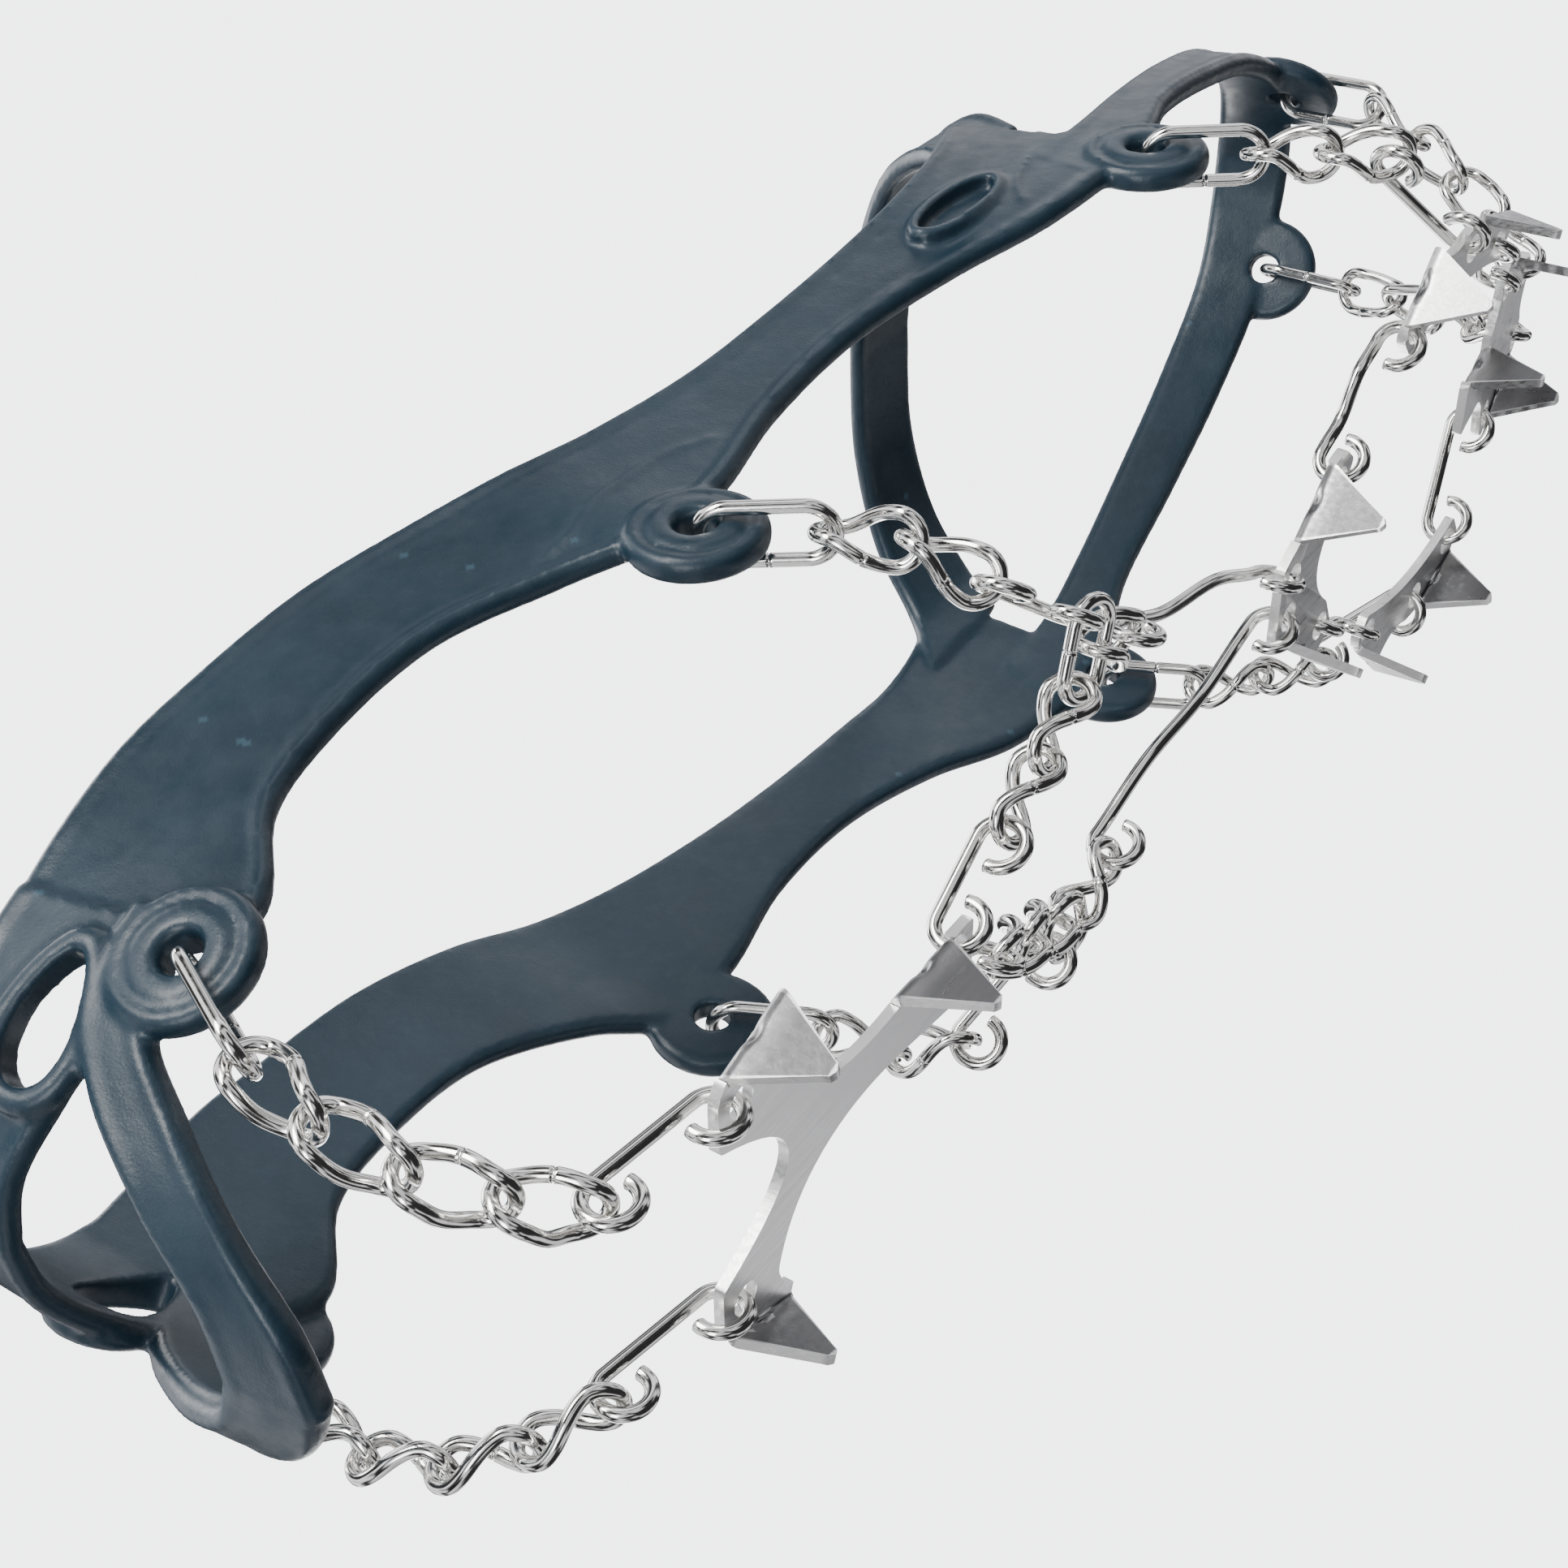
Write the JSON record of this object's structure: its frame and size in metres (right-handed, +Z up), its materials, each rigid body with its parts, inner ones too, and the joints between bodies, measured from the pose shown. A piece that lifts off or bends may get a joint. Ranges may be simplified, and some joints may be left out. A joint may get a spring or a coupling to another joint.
{
  "type": "shoe ice cleats",
  "caption": "Slip-on rubber harness with chains holding spiked steel plates under the sole of a boot for grip on ice and snow.",
  "frame": {"origin": "middle of the sole, in the mid plane of the spiked plates", "axes": "+X towards the toe, +Y towards the far side, +Z up towards the foot"},
  "size_m": [0.3306, 0.1116, 0.106],
  "materials": {
    "harness_rubber": "satin moulded rubber",
    "chain_steel": "polished stainless wire",
    "plate_steel": "brushed stainless sheet with bright cut edges"
  },
  "bodies": {
    "heel_plate": {"heel_plate": "plate_steel"},
    "ball_plate": {"ball_plate": "plate_steel"},
    "side_plate_near": {"side_plate_near": "plate_steel"},
    "side_plate_far": {"side_plate_far": "plate_steel"},
    "toe_plate": {"toe_plate": "plate_steel"},
    "rubber_harness": {"rubber_harness": "harness_rubber"},
    "eyelet_link_heel_near": {"eyelet_link_heel_near": "chain_steel"},
    "eyelet_link_heel_far": {"eyelet_link_heel_far": "chain_steel"},
    "eyelet_link_mid_near": {"eyelet_link_mid_near": "chain_steel"},
    "eyelet_link_mid_far": {"eyelet_link_mid_far": "chain_steel"},
    "eyelet_link_ball_near": {"eyelet_link_ball_near": "chain_steel"},
    "eyelet_link_ball_far": {"eyelet_link_ball_far": "chain_steel"},
    "eyelet_link_toe_near": {"eyelet_link_toe_near": "chain_steel"},
    "eyelet_link_toe_far": {"eyelet_link_toe_far": "chain_steel"},
    "connector_heel_near": {"connector_heel_near": "chain_steel"},
    "connector_heel_far": {"connector_heel_far": "chain_steel"},
    "chain_heel_1_near": {"chain_heel_1_near": "chain_steel"},
    "chain_heel_1_far": {"chain_heel_1_far": "chain_steel"},
    "chain_heel_2_near": {"chain_heel_2_near": "chain_steel"},
    "chain_heel_2_far": {"chain_heel_2_far": "chain_steel"},
    "chain_heel_3_near": {"chain_heel_3_near": "chain_steel"},
    "chain_heel_3_far": {"chain_heel_3_far": "chain_steel"},
    "chain_heel_4_near": {"chain_heel_4_near": "chain_steel"},
    "chain_heel_4_far": {"chain_heel_4_far": "chain_steel"},
    "chain_mid_1_near": {"chain_mid_1_near": "chain_steel"},
    "chain_mid_1_far": {"chain_mid_1_far": "chain_steel"},
    "chain_mid_2_near": {"chain_mid_2_near": "chain_steel"},
    "chain_mid_2_far": {"chain_mid_2_far": "chain_steel"},
    "connector_mid_near": {"connector_mid_near": "chain_steel"},
    "connector_mid_far": {"connector_mid_far": "chain_steel"},
    "hub_ring_near": {"hub_ring_near": "chain_steel"},
    "hub_ring_far": {"hub_ring_far": "chain_steel"},
    "chain_back_1_near": {"chain_back_1_near": "chain_steel"},
    "chain_back_1_far": {"chain_back_1_far": "chain_steel"},
    "chain_back_2_near": {"chain_back_2_near": "chain_steel"},
    "chain_back_2_far": {"chain_back_2_far": "chain_steel"},
    "connector_back_near": {"connector_back_near": "chain_steel"},
    "connector_back_far": {"connector_back_far": "chain_steel"},
    "chain_fork_near": {"chain_fork_near": "chain_steel"},
    "chain_fork_far": {"chain_fork_far": "chain_steel"},
    "connector_fork_near": {"connector_fork_near": "chain_steel"},
    "connector_fork_far": {"connector_fork_far": "chain_steel"},
    "connector_ball_near": {"connector_ball_near": "chain_steel"},
    "connector_ball_far": {"connector_ball_far": "chain_steel"},
    "connector_toe_near": {"connector_toe_near": "chain_steel"},
    "connector_toe_far": {"connector_toe_far": "chain_steel"},
    "chain_side_1_near": {"chain_side_1_near": "chain_steel"},
    "chain_side_1_far": {"chain_side_1_far": "chain_steel"},
    "chain_side_2_near": {"chain_side_2_near": "chain_steel"},
    "chain_side_2_far": {"chain_side_2_far": "chain_steel"},
    "connector_side_near": {"connector_side_near": "chain_steel"},
    "connector_side_far": {"connector_side_far": "chain_steel"},
    "chain_toe_1_near": {"chain_toe_1_near": "chain_steel"},
    "chain_toe_1_far": {"chain_toe_1_far": "chain_steel"},
    "chain_toe_2_near": {"chain_toe_2_near": "chain_steel"},
    "chain_toe_2_far": {"chain_toe_2_far": "chain_steel"},
    "chain_toe_3_near": {"chain_toe_3_near": "chain_steel"},
    "chain_toe_3_far": {"chain_toe_3_far": "chain_steel"},
    "chain_toe_4_near": {"chain_toe_4_near": "chain_steel"},
    "chain_toe_4_far": {"chain_toe_4_far": "chain_steel"}
  },
  "joints": [
    {"name": "heel_plate_roll", "type": "hinge", "parent": "rubber_harness", "child": "heel_plate", "pos_m": [-0.08, 0, 0], "axis": [1, 0, 0], "range_deg": [-2.5, 2.5]},
    {"name": "ball_plate_roll", "type": "hinge", "parent": "rubber_harness", "child": "ball_plate", "pos_m": [0.05, 0, 0], "axis": [1, 0, 0], "range_deg": [-2.5, 2.5]},
    {"name": "side_plate_near_roll", "type": "hinge", "parent": "rubber_harness", "child": "side_plate_near", "pos_m": [0.095, -0.0315, 0], "axis": [1, 0, 0], "range_deg": [-2.5, 2.5]},
    {"name": "side_plate_far_roll", "type": "hinge", "parent": "rubber_harness", "child": "side_plate_far", "pos_m": [0.095, 0.0315, 0], "axis": [1, 0, 0], "range_deg": [-2.5, 2.5]},
    {"name": "toe_plate_roll", "type": "hinge", "parent": "rubber_harness", "child": "toe_plate", "pos_m": [0.13, 0, 0.0025], "axis": [1, 0, 0], "range_deg": [-1.5, 1.5]},
    {"name": "chain_heel_2_near_twist", "type": "hinge", "parent": "rubber_harness", "child": "chain_heel_2_near", "pos_m": [-0.13512, -0.02329, 0.01429], "axis": [-0.4916, -0.3861, 0.7806], "range_deg": [-5, 5]},
    {"name": "chain_heel_1_near_twist", "type": "hinge", "parent": "rubber_harness", "child": "chain_heel_1_near", "pos_m": [-0.12843, -0.01878, 0.0066], "axis": [-0.6966, -0.4136, 0.5863], "range_deg": [-5, 5]},
    {"name": "chain_heel_3_near_twist", "type": "hinge", "parent": "rubber_harness", "child": "chain_heel_3_near", "pos_m": [-0.13888, -0.02718, 0.02394], "axis": [-0.1758, -0.3066, 0.9355], "range_deg": [-5, 5]},
    {"name": "chain_heel_4_near_twist", "type": "hinge", "parent": "rubber_harness", "child": "chain_heel_4_near", "pos_m": [-0.1391, -0.03002, 0.03466], "axis": [0.135, -0.1983, 0.9708], "range_deg": [-5, 5]},
    {"name": "eyelet_link_heel_near_twist", "type": "hinge", "parent": "rubber_harness", "child": "eyelet_link_heel_near", "pos_m": [-0.13498, -0.03167, 0.04695], "axis": [-0.4417, 0.07, -0.8944], "range_deg": [-5, 5]},
    {"name": "connector_heel_near_twist", "type": "hinge", "parent": "rubber_harness", "child": "connector_heel_near", "pos_m": [-0.11425, -0.01671, 0.0018], "axis": [0.9893, -0.0249, -0.1439], "range_deg": [-5, 5]},
    {"name": "chain_mid_1_near_twist", "type": "hinge", "parent": "rubber_harness", "child": "chain_mid_1_near", "pos_m": [-0.03398, -0.0451, 0.02633], "axis": [0.2921, -0.0636, -0.9543], "range_deg": [-4, 4]},
    {"name": "chain_mid_2_near_twist", "type": "hinge", "parent": "rubber_harness", "child": "chain_mid_2_near", "pos_m": [-0.03064, -0.04302, 0.01623], "axis": [0.3053, 0.435, -0.8471], "range_deg": [-4, 4]},
    {"name": "eyelet_link_mid_near_twist", "type": "hinge", "parent": "rubber_harness", "child": "eyelet_link_mid_near", "pos_m": [-0.03947, -0.04422, 0.03825], "axis": [0.5038, -0.0689, -0.8611], "range_deg": [-4, 4]},
    {"name": "connector_mid_near_twist", "type": "hinge", "parent": "rubber_harness", "child": "connector_mid_near", "pos_m": [-0.02264, -0.03547, 0.00735], "axis": [0.7337, 0.6133, -0.2923], "range_deg": [-4, 4]},
    {"name": "chain_back_1_near_twist", "type": "hinge", "parent": "rubber_harness", "child": "chain_back_1_near", "pos_m": [-0.02357, -0.01839, 0.00283], "axis": [-0.8935, 0.4415, -0.0816], "range_deg": [-4, 4]},
    {"name": "chain_back_2_near_twist", "type": "hinge", "parent": "rubber_harness", "child": "chain_back_2_near", "pos_m": [-0.03362, -0.01342, 0.00191], "axis": [-0.8935, 0.4415, -0.0816], "range_deg": [-4, 4]},
    {"name": "connector_back_near_twist", "type": "hinge", "parent": "rubber_harness", "child": "connector_back_near", "pos_m": [-0.04595, -0.00732, 0.00094], "axis": [-0.8951, 0.4423, -0.0556], "range_deg": [-4, 4]},
    {"name": "hub_ring_near_twist", "type": "hinge", "parent": "rubber_harness", "child": "hub_ring_near", "pos_m": [-0.01527, -0.02497, 0.00367], "axis": [-0.3811, 0.9226, -0.0602], "range_deg": [-4, 4]},
    {"name": "chain_fork_near_twist", "type": "hinge", "parent": "rubber_harness", "child": "chain_fork_near", "pos_m": [-0.00811, -0.02201, 0.00367], "axis": [0.9243, 0.3818, 0], "range_deg": [-2, 2]},
    {"name": "connector_fork_near_twist", "type": "hinge", "parent": "rubber_harness", "child": "connector_fork_near", "pos_m": [0.01964, -0.01196, 0.00206], "axis": [0.9417, 0.3299, -0.0665], "range_deg": [-2, 2]},
    {"name": "connector_ball_near_twist", "type": "hinge", "parent": "rubber_harness", "child": "connector_ball_near", "pos_m": [0.06835, -0.02105, 0.0006], "axis": [0.8326, -0.5539, 0], "range_deg": [-5, 5]},
    {"name": "connector_toe_near_twist", "type": "hinge", "parent": "rubber_harness", "child": "connector_toe_near", "pos_m": [0.12015, -0.02055, 0.00189], "axis": [0.6942, 0.7028, 0.1556], "range_deg": [-4, 4]},
    {"name": "chain_side_1_near_twist", "type": "hinge", "parent": "rubber_harness", "child": "chain_side_1_near", "pos_m": [0.08149, -0.05049, 0.02349], "axis": [0.68, 0.0827, -0.7285], "range_deg": [-4, 4]},
    {"name": "chain_side_2_near_twist", "type": "hinge", "parent": "rubber_harness", "child": "chain_side_2_near", "pos_m": [0.08945, -0.04952, 0.01496], "axis": [0.68, 0.0827, -0.7285], "range_deg": [-4, 4]},
    {"name": "eyelet_link_ball_near_twist", "type": "hinge", "parent": "rubber_harness", "child": "eyelet_link_ball_near", "pos_m": [0.07361, -0.05052, 0.03429], "axis": [0.5121, -0.0583, -0.8569], "range_deg": [-4, 4]},
    {"name": "connector_side_near_twist", "type": "hinge", "parent": "rubber_harness", "child": "connector_side_near", "pos_m": [0.09573, -0.04166, 0.0058], "axis": [0.3436, 0.6726, -0.6554], "range_deg": [-4, 4]},
    {"name": "chain_toe_2_near_twist", "type": "hinge", "parent": "rubber_harness", "child": "chain_toe_2_near", "pos_m": [0.16005, -0.01489, 0.02855], "axis": [-0.384, 0.2437, -0.8906], "range_deg": [-5, 5]},
    {"name": "chain_toe_1_near_twist", "type": "hinge", "parent": "rubber_harness", "child": "chain_toe_1_near", "pos_m": [0.16401, -0.01745, 0.03881], "axis": [-0.3172, 0.2084, -0.9252], "range_deg": [-5, 5]},
    {"name": "chain_toe_3_near_twist", "type": "hinge", "parent": "rubber_harness", "child": "chain_toe_3_near", "pos_m": [0.15531, -0.01193, 0.01874], "axis": [-0.4548, 0.2807, -0.8452], "range_deg": [-5, 5]},
    {"name": "chain_toe_4_near_twist", "type": "hinge", "parent": "rubber_harness", "child": "chain_toe_4_near", "pos_m": [0.14976, -0.00855, 0.00952], "axis": [-0.5273, 0.3182, -0.7878], "range_deg": [-5, 5]},
    {"name": "eyelet_link_toe_near_twist", "type": "hinge", "parent": "rubber_harness", "child": "eyelet_link_toe_near", "pos_m": [0.16475, -0.01852, 0.05159], "axis": [0.1384, -0.0135, -0.9903], "range_deg": [-5, 5]},
    {"name": "chain_heel_2_far_twist", "type": "hinge", "parent": "rubber_harness", "child": "chain_heel_2_far", "pos_m": [-0.13512, 0.02329, 0.01429], "axis": [-0.4916, 0.3861, 0.7806], "range_deg": [-5, 5]},
    {"name": "chain_heel_1_far_twist", "type": "hinge", "parent": "rubber_harness", "child": "chain_heel_1_far", "pos_m": [-0.12843, 0.01878, 0.0066], "axis": [-0.6966, 0.4136, 0.5863], "range_deg": [-5, 5]},
    {"name": "chain_heel_3_far_twist", "type": "hinge", "parent": "rubber_harness", "child": "chain_heel_3_far", "pos_m": [-0.13888, 0.02718, 0.02394], "axis": [-0.1758, 0.3066, 0.9355], "range_deg": [-5, 5]},
    {"name": "chain_heel_4_far_twist", "type": "hinge", "parent": "rubber_harness", "child": "chain_heel_4_far", "pos_m": [-0.1391, 0.03002, 0.03466], "axis": [0.135, 0.1983, 0.9708], "range_deg": [-5, 5]},
    {"name": "eyelet_link_heel_far_twist", "type": "hinge", "parent": "rubber_harness", "child": "eyelet_link_heel_far", "pos_m": [-0.13498, 0.03167, 0.04695], "axis": [-0.4417, -0.07, -0.8944], "range_deg": [-5, 5]},
    {"name": "connector_heel_far_twist", "type": "hinge", "parent": "rubber_harness", "child": "connector_heel_far", "pos_m": [-0.11425, 0.01671, 0.0018], "axis": [0.9893, 0.0249, -0.1439], "range_deg": [-5, 5]},
    {"name": "chain_mid_1_far_twist", "type": "hinge", "parent": "rubber_harness", "child": "chain_mid_1_far", "pos_m": [-0.03398, 0.0451, 0.02633], "axis": [0.2921, 0.0636, -0.9543], "range_deg": [-4, 4]},
    {"name": "chain_mid_2_far_twist", "type": "hinge", "parent": "rubber_harness", "child": "chain_mid_2_far", "pos_m": [-0.03064, 0.04302, 0.01623], "axis": [0.3053, -0.435, -0.8471], "range_deg": [-4, 4]},
    {"name": "eyelet_link_mid_far_twist", "type": "hinge", "parent": "rubber_harness", "child": "eyelet_link_mid_far", "pos_m": [-0.03947, 0.04422, 0.03825], "axis": [0.5038, 0.0689, -0.8611], "range_deg": [-4, 4]},
    {"name": "connector_mid_far_twist", "type": "hinge", "parent": "rubber_harness", "child": "connector_mid_far", "pos_m": [-0.02264, 0.03547, 0.00735], "axis": [0.7337, -0.6133, -0.2923], "range_deg": [-4, 4]},
    {"name": "chain_back_1_far_twist", "type": "hinge", "parent": "rubber_harness", "child": "chain_back_1_far", "pos_m": [-0.02357, 0.01839, 0.00283], "axis": [-0.8935, -0.4415, -0.0816], "range_deg": [-4, 4]},
    {"name": "chain_back_2_far_twist", "type": "hinge", "parent": "rubber_harness", "child": "chain_back_2_far", "pos_m": [-0.03362, 0.01342, 0.00191], "axis": [-0.8935, -0.4415, -0.0816], "range_deg": [-4, 4]},
    {"name": "connector_back_far_twist", "type": "hinge", "parent": "rubber_harness", "child": "connector_back_far", "pos_m": [-0.04595, 0.00732, 0.00094], "axis": [-0.8951, -0.4423, -0.0556], "range_deg": [-4, 4]},
    {"name": "hub_ring_far_twist", "type": "hinge", "parent": "rubber_harness", "child": "hub_ring_far", "pos_m": [-0.01527, 0.02497, 0.00367], "axis": [-0.3811, -0.9226, -0.0602], "range_deg": [-4, 4]},
    {"name": "chain_fork_far_twist", "type": "hinge", "parent": "rubber_harness", "child": "chain_fork_far", "pos_m": [-0.00811, 0.02201, 0.00367], "axis": [0.9243, -0.3818, 0], "range_deg": [-2, 2]},
    {"name": "connector_fork_far_twist", "type": "hinge", "parent": "rubber_harness", "child": "connector_fork_far", "pos_m": [0.01964, 0.01196, 0.00206], "axis": [0.9417, -0.3299, -0.0665], "range_deg": [-2, 2]},
    {"name": "connector_ball_far_twist", "type": "hinge", "parent": "rubber_harness", "child": "connector_ball_far", "pos_m": [0.06835, 0.02105, 0.0006], "axis": [0.8326, 0.5539, 0], "range_deg": [-5, 5]},
    {"name": "connector_toe_far_twist", "type": "hinge", "parent": "rubber_harness", "child": "connector_toe_far", "pos_m": [0.12015, 0.02055, 0.00189], "axis": [0.6942, -0.7028, 0.1556], "range_deg": [-4, 4]},
    {"name": "chain_side_1_far_twist", "type": "hinge", "parent": "rubber_harness", "child": "chain_side_1_far", "pos_m": [0.08149, 0.05049, 0.02349], "axis": [0.68, -0.0827, -0.7285], "range_deg": [-4, 4]},
    {"name": "chain_side_2_far_twist", "type": "hinge", "parent": "rubber_harness", "child": "chain_side_2_far", "pos_m": [0.08945, 0.04952, 0.01496], "axis": [0.68, -0.0827, -0.7285], "range_deg": [-4, 4]},
    {"name": "eyelet_link_ball_far_twist", "type": "hinge", "parent": "rubber_harness", "child": "eyelet_link_ball_far", "pos_m": [0.07361, 0.05052, 0.03429], "axis": [0.5121, 0.0583, -0.8569], "range_deg": [-4, 4]},
    {"name": "connector_side_far_twist", "type": "hinge", "parent": "rubber_harness", "child": "connector_side_far", "pos_m": [0.09573, 0.04166, 0.0058], "axis": [0.3436, -0.6726, -0.6554], "range_deg": [-4, 4]},
    {"name": "chain_toe_2_far_twist", "type": "hinge", "parent": "rubber_harness", "child": "chain_toe_2_far", "pos_m": [0.16005, 0.01489, 0.02855], "axis": [-0.384, -0.2437, -0.8906], "range_deg": [-5, 5]},
    {"name": "chain_toe_1_far_twist", "type": "hinge", "parent": "rubber_harness", "child": "chain_toe_1_far", "pos_m": [0.16401, 0.01745, 0.03881], "axis": [-0.3172, -0.2084, -0.9252], "range_deg": [-5, 5]},
    {"name": "chain_toe_3_far_twist", "type": "hinge", "parent": "rubber_harness", "child": "chain_toe_3_far", "pos_m": [0.15531, 0.01193, 0.01874], "axis": [-0.4548, -0.2807, -0.8452], "range_deg": [-5, 5]},
    {"name": "chain_toe_4_far_twist", "type": "hinge", "parent": "rubber_harness", "child": "chain_toe_4_far", "pos_m": [0.14976, 0.00855, 0.00952], "axis": [-0.5273, -0.3182, -0.7878], "range_deg": [-5, 5]},
    {"name": "eyelet_link_toe_far_twist", "type": "hinge", "parent": "rubber_harness", "child": "eyelet_link_toe_far", "pos_m": [0.16475, 0.01852, 0.05159], "axis": [0.1384, 0.0135, -0.9903], "range_deg": [-5, 5]}
  ],
  "couplings": [
    {"joint": "chain_heel_1_near_twist", "follows": "chain_heel_2_near_twist", "ratio": 1},
    {"joint": "chain_heel_3_near_twist", "follows": "chain_heel_2_near_twist", "ratio": 1},
    {"joint": "chain_heel_4_near_twist", "follows": "chain_heel_2_near_twist", "ratio": 1},
    {"joint": "eyelet_link_heel_near_twist", "follows": "chain_heel_2_near_twist", "ratio": 1},
    {"joint": "connector_heel_near_twist", "follows": "chain_heel_2_near_twist", "ratio": 1},
    {"joint": "chain_mid_2_near_twist", "follows": "chain_mid_1_near_twist", "ratio": 1},
    {"joint": "eyelet_link_mid_near_twist", "follows": "chain_mid_1_near_twist", "ratio": 1},
    {"joint": "connector_mid_near_twist", "follows": "chain_mid_1_near_twist", "ratio": 1},
    {"joint": "chain_back_2_near_twist", "follows": "chain_back_1_near_twist", "ratio": 1},
    {"joint": "connector_back_near_twist", "follows": "chain_back_1_near_twist", "ratio": 1},
    {"joint": "hub_ring_near_twist", "follows": "chain_back_1_near_twist", "ratio": 1},
    {"joint": "connector_fork_near_twist", "follows": "chain_fork_near_twist", "ratio": 1},
    {"joint": "chain_side_2_near_twist", "follows": "chain_side_1_near_twist", "ratio": 1},
    {"joint": "eyelet_link_ball_near_twist", "follows": "chain_side_1_near_twist", "ratio": 1},
    {"joint": "connector_side_near_twist", "follows": "chain_side_1_near_twist", "ratio": 1},
    {"joint": "chain_toe_1_near_twist", "follows": "chain_toe_2_near_twist", "ratio": 1},
    {"joint": "chain_toe_3_near_twist", "follows": "chain_toe_2_near_twist", "ratio": 1},
    {"joint": "chain_toe_4_near_twist", "follows": "chain_toe_2_near_twist", "ratio": 1},
    {"joint": "eyelet_link_toe_near_twist", "follows": "chain_toe_2_near_twist", "ratio": 1},
    {"joint": "chain_heel_1_far_twist", "follows": "chain_heel_2_far_twist", "ratio": 1},
    {"joint": "chain_heel_3_far_twist", "follows": "chain_heel_2_far_twist", "ratio": 1},
    {"joint": "chain_heel_4_far_twist", "follows": "chain_heel_2_far_twist", "ratio": 1},
    {"joint": "eyelet_link_heel_far_twist", "follows": "chain_heel_2_far_twist", "ratio": 1},
    {"joint": "connector_heel_far_twist", "follows": "chain_heel_2_far_twist", "ratio": 1},
    {"joint": "chain_mid_2_far_twist", "follows": "chain_mid_1_far_twist", "ratio": 1},
    {"joint": "eyelet_link_mid_far_twist", "follows": "chain_mid_1_far_twist", "ratio": 1},
    {"joint": "connector_mid_far_twist", "follows": "chain_mid_1_far_twist", "ratio": 1},
    {"joint": "chain_back_2_far_twist", "follows": "chain_back_1_far_twist", "ratio": 1},
    {"joint": "connector_back_far_twist", "follows": "chain_back_1_far_twist", "ratio": 1},
    {"joint": "hub_ring_far_twist", "follows": "chain_back_1_far_twist", "ratio": 1},
    {"joint": "connector_fork_far_twist", "follows": "chain_fork_far_twist", "ratio": 1},
    {"joint": "chain_side_2_far_twist", "follows": "chain_side_1_far_twist", "ratio": 1},
    {"joint": "eyelet_link_ball_far_twist", "follows": "chain_side_1_far_twist", "ratio": 1},
    {"joint": "connector_side_far_twist", "follows": "chain_side_1_far_twist", "ratio": 1},
    {"joint": "chain_toe_1_far_twist", "follows": "chain_toe_2_far_twist", "ratio": 1},
    {"joint": "chain_toe_3_far_twist", "follows": "chain_toe_2_far_twist", "ratio": 1},
    {"joint": "chain_toe_4_far_twist", "follows": "chain_toe_2_far_twist", "ratio": 1},
    {"joint": "eyelet_link_toe_far_twist", "follows": "chain_toe_2_far_twist", "ratio": 1}
  ]
}
